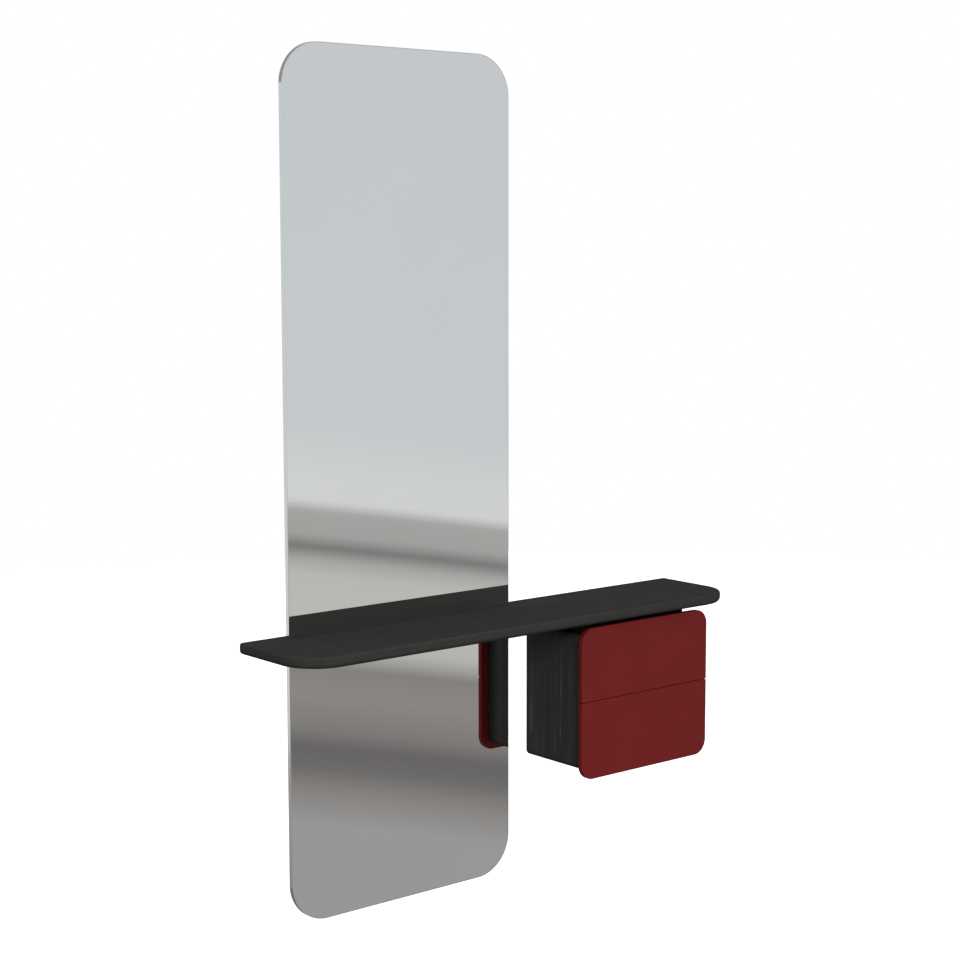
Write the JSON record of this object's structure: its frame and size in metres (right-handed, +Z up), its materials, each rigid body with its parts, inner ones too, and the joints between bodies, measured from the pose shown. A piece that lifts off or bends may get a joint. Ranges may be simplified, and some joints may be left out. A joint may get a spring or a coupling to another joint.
{
  "type": "salon styling station",
  "caption": "Wall-mounted salon styling station: tall rounded mirror, long dark wood shelf notched round it, and a hanging cabinet with red-fronted drawers on runners.",
  "frame": {"origin": "centre of the hole pattern of the mirror's upper wall rail, on the wall plane and on the mirror's centreline, 1.6 m above the mirror's lower edge", "axes": "+Z up, +Y into the wall, +X to the right of someone facing the mirror, towards the drawers"},
  "size_m": [1.2325, 0.239, 1.85],
  "materials": {
    "mirror_glass": "polished silvered glass",
    "backing_board": "raw fibreboard",
    "edge_trim": "satin anodised",
    "rail_aluminium": "mill finish extrusion",
    "zinc_screws": "zinc plated",
    "pad_rubber": "matt",
    "shelf_wood": "dark stained fine-grained veneer, satin",
    "support_steel": "black powder coat",
    "rod_steel": "bright drawn",
    "black_screws": "black oxide",
    "spacer_black": "matt black paint",
    "cabinet_wood": "dark stained fine-grained veneer, satin",
    "cabinet_back_board": "dark melamine",
    "dowel_beech": "raw beech",
    "zinc_plate": "zinc plated",
    "buffer_clear": "translucent, satin",
    "red_lacquer": "silk lacquer on fibreboard",
    "box_wood": "clear lacquered birch",
    "box_bottom": "plywood",
    "runner_steel": "zinc plated",
    "cage_steel": "yellow zinc plated",
    "ball_steel": "polished bearing steel"
  },
  "bodies": {
    "station": {"mirror_glass": "mirror_glass", "mirror_backing_board": "backing_board", "mirror_edge_trim": "edge_trim", "mirror_upper_wall_rail": "rail_aluminium", "mirror_lower_wall_rail": "rail_aluminium", "mirror_upper_panel_rail": "rail_aluminium", "mirror_lower_panel_rail": "rail_aluminium", "mirror_rail_screws": "zinc_screws", "mirror_spacer_pads": "pad_rubber", "shelf_board": "shelf_wood", "shelf_left_support_bar": "support_steel", "shelf_right_support_bar": "support_steel", "shelf_support_rods": "rod_steel", "shelf_locking_screws": "black_screws", "cabinet_spacer": "spacer_black", "cabinet_to_shelf_screws": "zinc_screws", "cabinet_left_side": "cabinet_wood", "cabinet_right_side": "cabinet_wood", "cabinet_top": "cabinet_wood", "cabinet_bottom": "cabinet_wood", "cabinet_back": "cabinet_back_board", "cabinet_dowels": "dowel_beech", "cabinet_wall_plate": "zinc_plate", "cabinet_plate_screws": "zinc_screws", "cabinet_front_buffers": "buffer_clear", "upper_left_runner_outer": "runner_steel", "upper_right_runner_outer": "runner_steel", "lower_left_runner_outer": "runner_steel", "lower_right_runner_outer": "runner_steel", "cabinet_runner_screws": "zinc_screws"},
    "upper_drawer": {"upper_drawer_front": "red_lacquer", "upper_box_left_side": "box_wood", "upper_box_right_side": "box_wood", "upper_box_front": "box_wood", "upper_box_back": "box_wood", "upper_box_bottom": "box_bottom", "upper_front_screws": "zinc_screws", "upper_left_runner_inner": "runner_steel", "upper_right_runner_inner": "runner_steel", "upper_runner_screws": "zinc_screws"},
    "lower_drawer": {"lower_drawer_front": "red_lacquer", "lower_box_left_side": "box_wood", "lower_box_right_side": "box_wood", "lower_box_front": "box_wood", "lower_box_back": "box_wood", "lower_box_bottom": "box_bottom", "lower_front_screws": "zinc_screws", "lower_left_runner_inner": "runner_steel", "lower_right_runner_inner": "runner_steel", "lower_runner_screws": "zinc_screws"},
    "upper_ball_cages": {"upper_left_ball_cage": "cage_steel", "upper_left_balls": "ball_steel", "upper_right_ball_cage": "cage_steel", "upper_right_balls": "ball_steel"},
    "lower_ball_cages": {"lower_left_ball_cage": "cage_steel", "lower_left_balls": "ball_steel", "lower_right_ball_cage": "cage_steel", "lower_right_balls": "ball_steel"}
  },
  "joints": [
    {"name": "upper_drawer_slide", "type": "slide", "parent": "station", "child": "upper_drawer", "axis": [0, -1, 0], "range_m": [0, 0.127]},
    {"name": "upper_cage_slide", "type": "slide", "parent": "station", "child": "upper_ball_cages", "axis": [0, -1, 0], "range_m": [0, 0.0635]},
    {"name": "lower_drawer_slide", "type": "slide", "parent": "station", "child": "lower_drawer", "axis": [0, -1, 0], "range_m": [0, 0.127]},
    {"name": "lower_cage_slide", "type": "slide", "parent": "station", "child": "lower_ball_cages", "axis": [0, -1, 0], "range_m": [0, 0.0635]}
  ],
  "couplings": [
    {"joint": "upper_cage_slide", "follows": "upper_drawer_slide", "ratio": 0.5},
    {"joint": "lower_cage_slide", "follows": "lower_drawer_slide", "ratio": 0.5}
  ]
}
